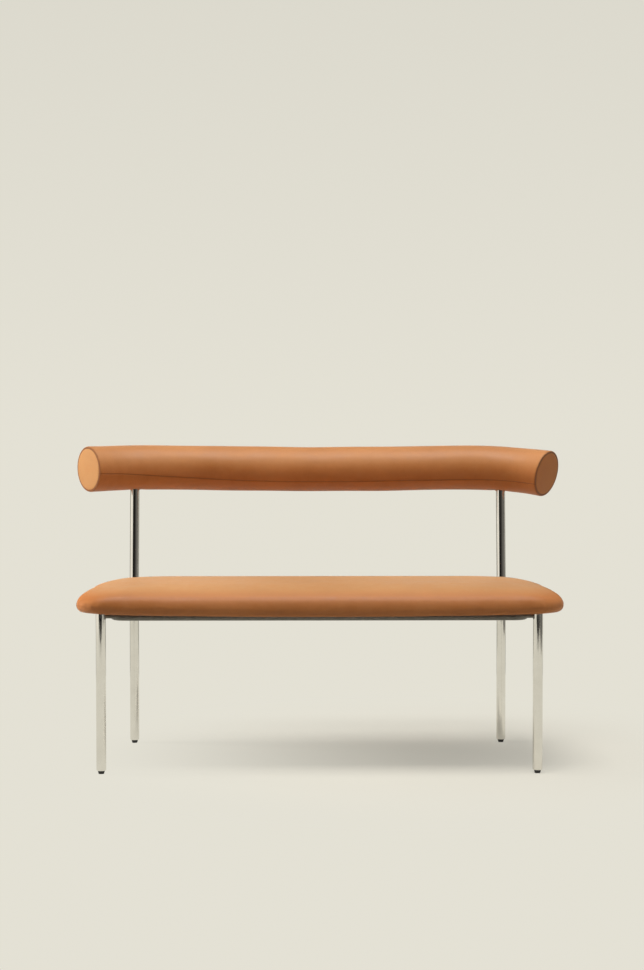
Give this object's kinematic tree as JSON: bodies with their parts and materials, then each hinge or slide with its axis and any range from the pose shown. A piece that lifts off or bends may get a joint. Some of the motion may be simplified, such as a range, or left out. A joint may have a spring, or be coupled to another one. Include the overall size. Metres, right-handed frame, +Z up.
{
  "type": "two-seat bench sofa",
  "caption": "Armless two-seat upholstered bench with a thin crowned leather seat, a curved leather bolster as its back and a polished tube frame on screw feet.",
  "frame": {"origin": "on the floor, under the middle of the outer box", "axes": "+X to the right as seen from the front, +Y to the back, +Z up"},
  "size_m": [1.3316, 0.599, 0.819],
  "materials": {
    "polished_chrome": "polished",
    "rail_steel": "dark grey satin",
    "black_glide": "moulded",
    "zinc_steel": "zinc plated",
    "frame_steel": "black primer",
    "tan_leather": "smooth aniline",
    "foam": "open-cell foam",
    "plywood": "birch plywood",
    "dust_cloth": "woven cloth"
  },
  "bodies": {
    "bench": {"front_leg_left": "polished_chrome", "front_leg_right": "polished_chrome", "rear_leg_left": "polished_chrome", "rear_leg_right": "polished_chrome", "leg_plug_front_left": "polished_chrome", "leg_plug_front_right": "polished_chrome", "leg_plug_rear_left": "polished_chrome", "leg_plug_rear_right": "polished_chrome", "front_rail": "rail_steel", "rear_rail": "rail_steel", "side_rail_left": "rail_steel", "side_rail_right": "rail_steel", "leg_stay_left": "rail_steel", "leg_stay_right": "rail_steel", "seat_screws": "zinc_steel", "seat_tee_nuts": "zinc_steel", "socket_screws": "zinc_steel", "seat_tabs": "frame_steel", "back_core": "frame_steel", "post_socket_left": "frame_steel", "post_socket_right": "frame_steel", "seat_cover": "tan_leather", "back_cover": "tan_leather", "back_cap_left": "tan_leather", "back_cap_right": "tan_leather", "seat_foam": "foam", "back_foam": "foam", "seat_board": "plywood", "back_end_disc_left": "plywood", "back_end_disc_right": "plywood", "dust_cover": "dust_cloth"},
    "foot_stud_front_left": {"foot_stud_front_left": "zinc_steel"},
    "foot_pad_front_left": {"foot_pad_front_left": "black_glide"},
    "foot_stud_front_right": {"foot_stud_front_right": "zinc_steel"},
    "foot_pad_front_right": {"foot_pad_front_right": "black_glide"},
    "foot_stud_rear_left": {"foot_stud_rear_left": "zinc_steel"},
    "foot_pad_rear_left": {"foot_pad_rear_left": "black_glide"},
    "foot_stud_rear_right": {"foot_stud_rear_right": "zinc_steel"},
    "foot_pad_rear_right": {"foot_pad_rear_right": "black_glide"}
  },
  "joints": [
    {"name": "front_left_foot_height", "type": "slide", "parent": "bench", "child": "foot_stud_front_left", "axis": [0, 0, 1], "range_m": [-0.01, 0]},
    {"name": "front_left_foot_turn", "type": "hinge", "parent": "foot_stud_front_left", "child": "foot_pad_front_left", "pos_m": [-0.55, -0.26448, 0], "axis": [0, 0, 1], "range_deg": [-2880, 0]},
    {"name": "front_right_foot_height", "type": "slide", "parent": "bench", "child": "foot_stud_front_right", "axis": [0, 0, 1], "range_m": [-0.01, 0]},
    {"name": "front_right_foot_turn", "type": "hinge", "parent": "foot_stud_front_right", "child": "foot_pad_front_right", "pos_m": [0.55, -0.26448, 0], "axis": [0, 0, 1], "range_deg": [-2880, 0]},
    {"name": "rear_left_foot_height", "type": "slide", "parent": "bench", "child": "foot_stud_rear_left", "axis": [0, 0, 1], "range_m": [-0.01, 0]},
    {"name": "rear_left_foot_turn", "type": "hinge", "parent": "foot_stud_rear_left", "child": "foot_pad_rear_left", "pos_m": [-0.507, 0.19552, 0], "axis": [0, 0, 1], "range_deg": [-2880, 0]},
    {"name": "rear_right_foot_height", "type": "slide", "parent": "bench", "child": "foot_stud_rear_right", "axis": [0, 0, 1], "range_m": [-0.01, 0]},
    {"name": "rear_right_foot_turn", "type": "hinge", "parent": "foot_stud_rear_right", "child": "foot_pad_rear_right", "pos_m": [0.507, 0.19552, 0], "axis": [0, 0, 1], "range_deg": [-2880, 0]}
  ],
  "couplings": [
    {"joint": "front_left_foot_turn", "follows": "front_left_foot_height", "rad_per_m": 5026},
    {"joint": "front_right_foot_turn", "follows": "front_right_foot_height", "rad_per_m": 5026},
    {"joint": "rear_left_foot_turn", "follows": "rear_left_foot_height", "rad_per_m": 5026},
    {"joint": "rear_right_foot_turn", "follows": "rear_right_foot_height", "rad_per_m": 5026}
  ]
}
